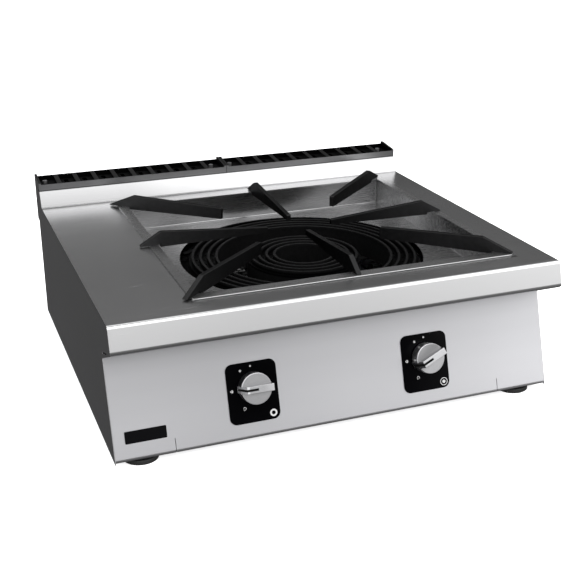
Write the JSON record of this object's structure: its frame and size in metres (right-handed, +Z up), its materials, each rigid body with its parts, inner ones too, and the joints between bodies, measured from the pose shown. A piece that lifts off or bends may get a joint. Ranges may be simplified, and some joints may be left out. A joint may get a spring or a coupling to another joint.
{
  "type": "paella gas stove",
  "caption": "Low table-top gas stove: steel case with a burner well, two ring burners, radial lift-off pan arms, two push-and-turn knobs and a rear flue.",
  "frame": {"origin": "on the floor, at the centre of the footprint", "axes": "+X to the right seen from the front, +Y to the back, +Z up"},
  "size_m": [0.8, 0.7301, 0.311],
  "materials": {
    "worktop_steel": "brushed, semi-gloss",
    "case_steel": "brushed satin",
    "well_steel": "brushed, semi-gloss",
    "inner_steel": "galvanised, matt",
    "arm_iron": "matt black enamel",
    "burner_iron": "matt black cast",
    "baffle_black": "matt black",
    "screw_steel": "polished",
    "tube_iron": "cast, painted grey",
    "brass": "machined",
    "pipe_aluminium": "drawn",
    "knob_silver": "satin",
    "bezel_black": "gloss",
    "plate_black": "semi-gloss",
    "spindle_steel": "machined",
    "spring_steel": "drawn",
    "pilot_steel": "bright",
    "ceramic": "glazed",
    "foot_black": "matt"
  },
  "bodies": {
    "stove_case": {"worktop": "worktop_steel", "well_frame": "well_steel", "well_floor": "well_steel", "left_side_panel": "case_steel", "right_side_panel": "case_steel", "front_panel": "case_steel", "front_rail": "case_steel", "rear_panel": "case_steel", "base_pan": "inner_steel", "flue_trim_left": "case_steel", "flue_trim_right": "case_steel", "flue_baffles": "baffle_black", "flue_screws": "screw_steel", "burner_bridges": "inner_steel", "arm_guides": "inner_steel", "foot_nuts": "spindle_steel", "outer_burner_body": "burner_iron", "inner_burner_body": "burner_iron", "outer_mixer_tube": "tube_iron", "inner_mixer_tube": "tube_iron", "outer_injector": "brass", "inner_injector": "brass", "gas_rail": "tube_iron", "gas_inlet_pipe": "tube_iron", "left_feed_pipe": "pipe_aluminium", "right_feed_pipe": "pipe_aluminium", "left_valve_body": "brass", "right_valve_body": "brass", "left_valve_spring": "spring_steel", "right_valve_spring": "spring_steel", "left_bezel": "bezel_black", "right_bezel": "bezel_black", "blank_plate": "plate_black", "outer_pilot": "pilot_steel", "inner_pilot": "pilot_steel", "spark_electrodes": "ceramic", "thermocouples": "spindle_steel"},
    "arm_front_left": {"arm_front_left": "arm_iron"},
    "arm_front": {"arm_front": "arm_iron"},
    "arm_front_right": {"arm_front_right": "arm_iron"},
    "arm_right": {"arm_right": "arm_iron"},
    "arm_rear_right": {"arm_rear_right": "arm_iron"},
    "arm_rear": {"arm_rear": "arm_iron"},
    "arm_rear_left": {"arm_rear_left": "arm_iron"},
    "arm_left": {"arm_left": "arm_iron"},
    "outer_crown": {"outer_burner_crown": "burner_iron"},
    "inner_crown": {"inner_burner_crown": "burner_iron"},
    "outer_shutter": {"outer_air_shutter": "spindle_steel"},
    "inner_shutter": {"inner_air_shutter": "spindle_steel"},
    "foot_front_left": {"foot_front_left": "foot_black"},
    "foot_front_right": {"foot_front_right": "foot_black"},
    "foot_rear_left": {"foot_rear_left": "foot_black"},
    "foot_rear_right": {"foot_rear_right": "foot_black"},
    "left_push_stage": {"left_thrust_washer": "spindle_steel"},
    "left_control": {"left_spindle": "spindle_steel", "left_knob": "knob_silver"},
    "right_push_stage": {"right_thrust_washer": "spindle_steel"},
    "right_control": {"right_spindle": "spindle_steel", "right_knob": "knob_silver"}
  },
  "joints": [
    {"name": "arm_front_left_lift", "type": "slide", "parent": "stove_case", "child": "arm_front_left", "axis": [0, 0, 1], "range_m": [0, 0.04]},
    {"name": "arm_front_lift", "type": "slide", "parent": "stove_case", "child": "arm_front", "axis": [0, 0, 1], "range_m": [0, 0.04]},
    {"name": "arm_front_right_lift", "type": "slide", "parent": "stove_case", "child": "arm_front_right", "axis": [0, 0, 1], "range_m": [0, 0.04]},
    {"name": "arm_right_lift", "type": "slide", "parent": "stove_case", "child": "arm_right", "axis": [0, 0, 1], "range_m": [0, 0.04]},
    {"name": "arm_rear_right_lift", "type": "slide", "parent": "stove_case", "child": "arm_rear_right", "axis": [0, 0, 1], "range_m": [0, 0.04]},
    {"name": "arm_rear_lift", "type": "slide", "parent": "stove_case", "child": "arm_rear", "axis": [0, 0, 1], "range_m": [0, 0.04]},
    {"name": "arm_rear_left_lift", "type": "slide", "parent": "stove_case", "child": "arm_rear_left", "axis": [0, 0, 1], "range_m": [0, 0.04]},
    {"name": "arm_left_lift", "type": "slide", "parent": "stove_case", "child": "arm_left", "axis": [0, 0, 1], "range_m": [0, 0.04]},
    {"name": "outer_crown_lift", "type": "slide", "parent": "stove_case", "child": "outer_crown", "axis": [0, 0, 1], "range_m": [0, 0.04]},
    {"name": "inner_crown_lift", "type": "slide", "parent": "stove_case", "child": "inner_crown", "axis": [0, 0, 1], "range_m": [0, 0.04]},
    {"name": "outer_air_adjust", "type": "slide", "parent": "stove_case", "child": "outer_shutter", "axis": [0, 1, 0], "range_m": [-0.004, 0.006]},
    {"name": "inner_air_adjust", "type": "slide", "parent": "stove_case", "child": "inner_shutter", "axis": [0, 1, 0], "range_m": [-0.004, 0.006]},
    {"name": "foot_front_left_level", "type": "slide", "parent": "stove_case", "child": "foot_front_left", "axis": [0, 0, -1], "range_m": [0, 0.006]},
    {"name": "foot_front_right_level", "type": "slide", "parent": "stove_case", "child": "foot_front_right", "axis": [0, 0, -1], "range_m": [0, 0.006]},
    {"name": "foot_rear_left_level", "type": "slide", "parent": "stove_case", "child": "foot_rear_left", "axis": [0, 0, -1], "range_m": [0, 0.006]},
    {"name": "foot_rear_right_level", "type": "slide", "parent": "stove_case", "child": "foot_rear_right", "axis": [0, 0, -1], "range_m": [0, 0.006]},
    {"name": "left_knob_push", "type": "slide", "parent": "stove_case", "child": "left_push_stage", "axis": [0, 0.9582, -0.2862], "range_m": [0, 0.003], "stiffness_N_per_m": 1500, "springref_m": -0.004, "deforming": ["left_valve_spring"]},
    {"name": "left_knob_turn", "type": "hinge", "parent": "left_push_stage", "child": "left_control", "pos_m": [-0.16, -0.31876, 0.09729], "axis": [0, -0.9582, 0.2862], "range_deg": [-90, 64]},
    {"name": "right_knob_push", "type": "slide", "parent": "stove_case", "child": "right_push_stage", "axis": [0, 0.9582, -0.2862], "range_m": [0, 0.003], "stiffness_N_per_m": 1500, "springref_m": -0.004, "deforming": ["right_valve_spring"]},
    {"name": "right_knob_turn", "type": "hinge", "parent": "right_push_stage", "child": "right_control", "pos_m": [0.16, -0.31876, 0.09729], "axis": [0, -0.9582, 0.2862], "range_deg": [-114, 40]}
  ]
}
